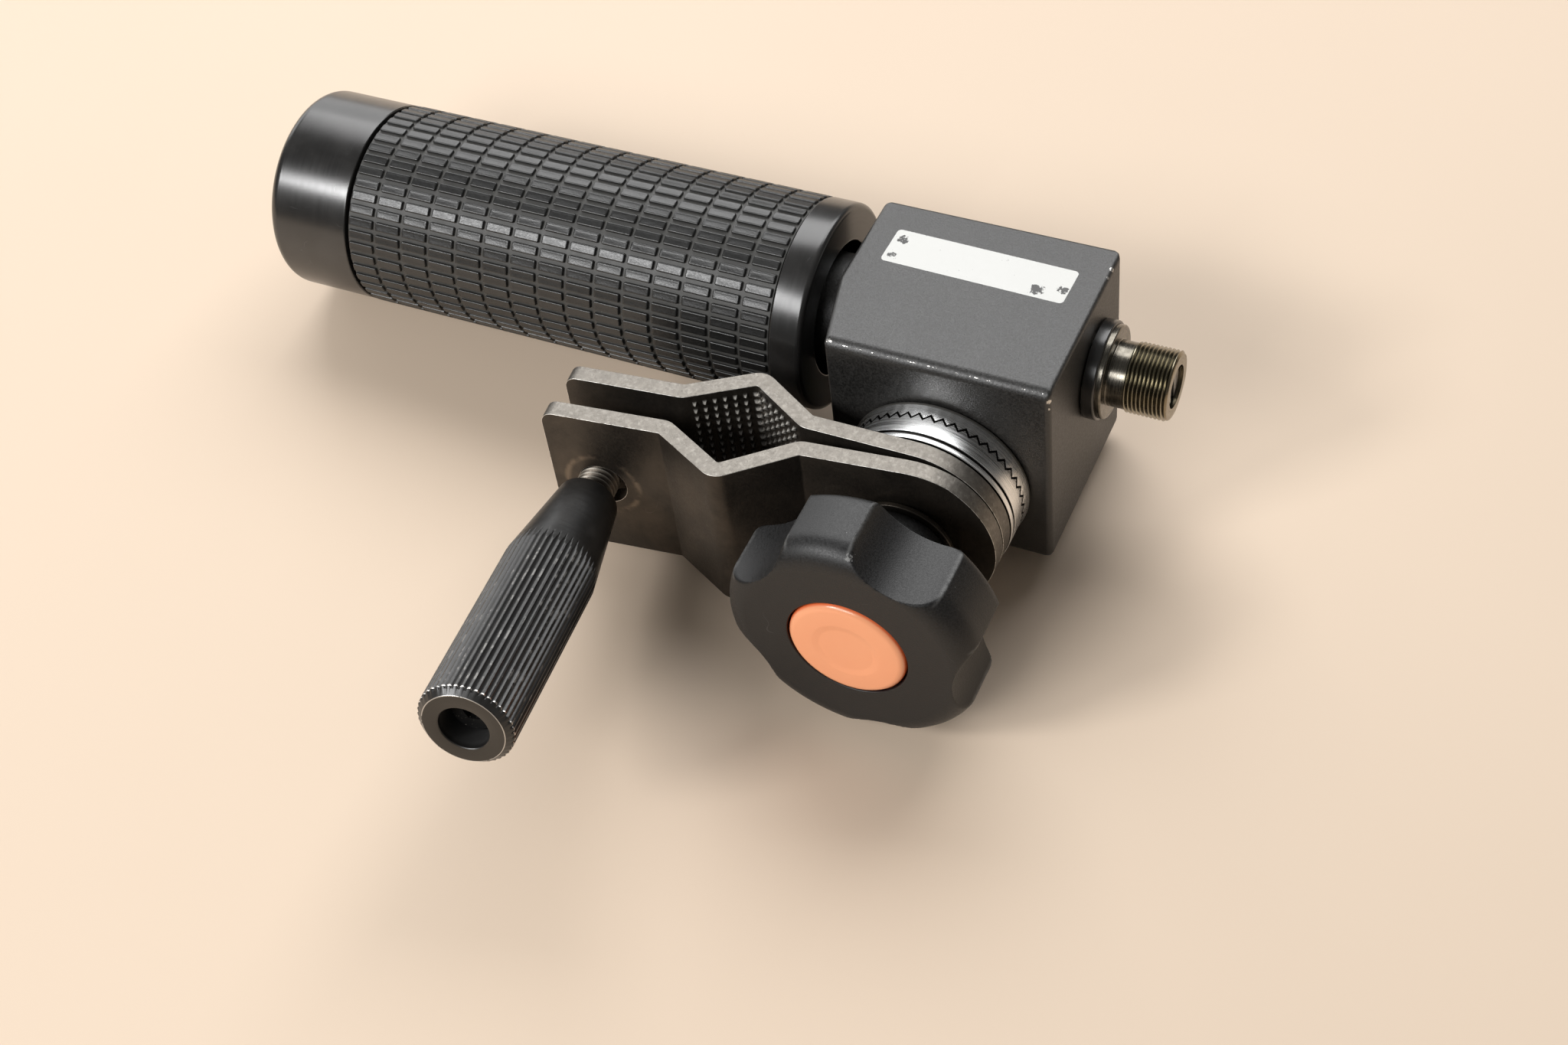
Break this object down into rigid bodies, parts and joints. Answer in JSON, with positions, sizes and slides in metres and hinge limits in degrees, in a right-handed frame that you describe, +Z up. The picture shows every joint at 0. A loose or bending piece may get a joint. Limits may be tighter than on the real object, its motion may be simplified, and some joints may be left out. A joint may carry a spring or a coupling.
{
  "type": "focus demand",
  "caption": "Hand focus control: a turning grip drives a cable nipple through a housing, and a toothed swivel carries a vee clamp for a pan bar.",
  "frame": {"origin": "on the surface it lies on, under the middle of its bounding box", "axes": "+Z up, +X along the grip towards the cable nipple (lifted 4 degrees by its stance), -Y out through the clamp knob"},
  "size_m": [0.1926, 0.1398, 0.0511],
  "materials": {
    "black_paint": "satin black paint with fine texture on cast aluminium, worn bright at the corners",
    "black_anodised": "smooth black anodised",
    "rubber": "matt black rubber, moulded in rows of pads",
    "steel": "turned steel",
    "bronze": "turned bronze",
    "brown_steel": "blackened steel with a brown sheen, bright on the thread's crests",
    "chrome": "turned and chromed",
    "blackened_steel": "blackened, with bare worn edges",
    "black_plastic": "fine-grained black plastic",
    "orange_plastic": "smooth orange plastic",
    "felt": "oiled felt"
  },
  "bodies": {
    "body": {"housing": "black_paint", "bush_left": "bronze", "bush_right": "bronze", "drag_ring": "felt", "cable_nipple": "brown_steel", "nipple_ring": "black_anodised", "rosette_fixed": "chrome", "rosette_screw_1": "steel", "rosette_screw_2": "steel", "rosette_screw_3": "steel", "rosette_stud": "steel"},
    "grip": {"drive_shaft": "steel", "shaft_retainer": "steel", "drive_dog": "steel", "grip_barrel": "black_anodised", "grip_sleeve": "rubber", "grip_end_cap": "black_anodised", "grip_bolt": "steel"},
    "pivot": {"pivot_tube": "steel"},
    "arm": {"rosette_arm": "chrome", "rear_jaw_plate": "blackened_steel"},
    "jaw": {"front_jaw_plate": "blackened_steel"},
    "knob_slide": {"knob_washer": "steel"},
    "knob": {"knob_body": "black_plastic", "knob_insert": "bronze", "knob_cap": "orange_plastic"},
    "screw_slide": {"screw_stop_ring": "steel"},
    "handle": {"clamp_screw": "blackened_steel", "clamp_handle": "black_anodised", "handle_bolt": "blackened_steel"}
  },
  "joints": [
    {"name": "grip_spin", "type": "hinge", "parent": "body", "child": "grip", "pos_m": [0.03568, 0.0489, 0.02997], "axis": [0.9975, 0.0025, 0.0707], "continuous": true},
    {"name": "arm_lift", "type": "slide", "parent": "body", "child": "pivot", "axis": [-0.0025, -0.9974, 0.0715], "range_m": [0, 0.002]},
    {"name": "arm_swivel", "type": "hinge", "parent": "pivot", "child": "arm", "pos_m": [0.05849, 0.02294, 0.02251], "axis": [-0.0025, -0.9974, 0.0715], "continuous": true},
    {"name": "jaw_open", "type": "slide", "parent": "arm", "child": "jaw", "axis": [-0.0025, -0.9974, 0.0715], "range_m": [0, 0.0015]},
    {"name": "knob_travel", "type": "slide", "parent": "body", "child": "knob_slide", "axis": [-0.0025, -0.9974, 0.0715], "range_m": [0, 0.005]},
    {"name": "knob_turn", "type": "hinge", "parent": "knob_slide", "child": "knob", "pos_m": [0.05849, 0.02294, 0.02251], "axis": [-0.0025, -0.9974, 0.0715], "range_deg": [0, 1440]},
    {"name": "screw_travel", "type": "slide", "parent": "arm", "child": "screw_slide", "axis": [0.1401, -0.9603, 0.2414], "range_m": [-0.0025, 0.00375]},
    {"name": "handle_turn", "type": "hinge", "parent": "screw_slide", "child": "handle", "pos_m": [-0.00286, -0.00352, 0.02045], "axis": [0.1401, -0.9603, 0.2414], "range_deg": [-720, 1080]}
  ],
  "couplings": [
    {"joint": "knob_turn", "follows": "knob_travel", "rad_per_m": 5026.5},
    {"joint": "arm_lift", "follows": "knob_travel", "ratio": 0.4},
    {"joint": "jaw_open", "follows": "knob_travel", "ratio": 0.3},
    {"joint": "handle_turn", "follows": "screw_travel", "rad_per_m": 5026.5}
  ]
}
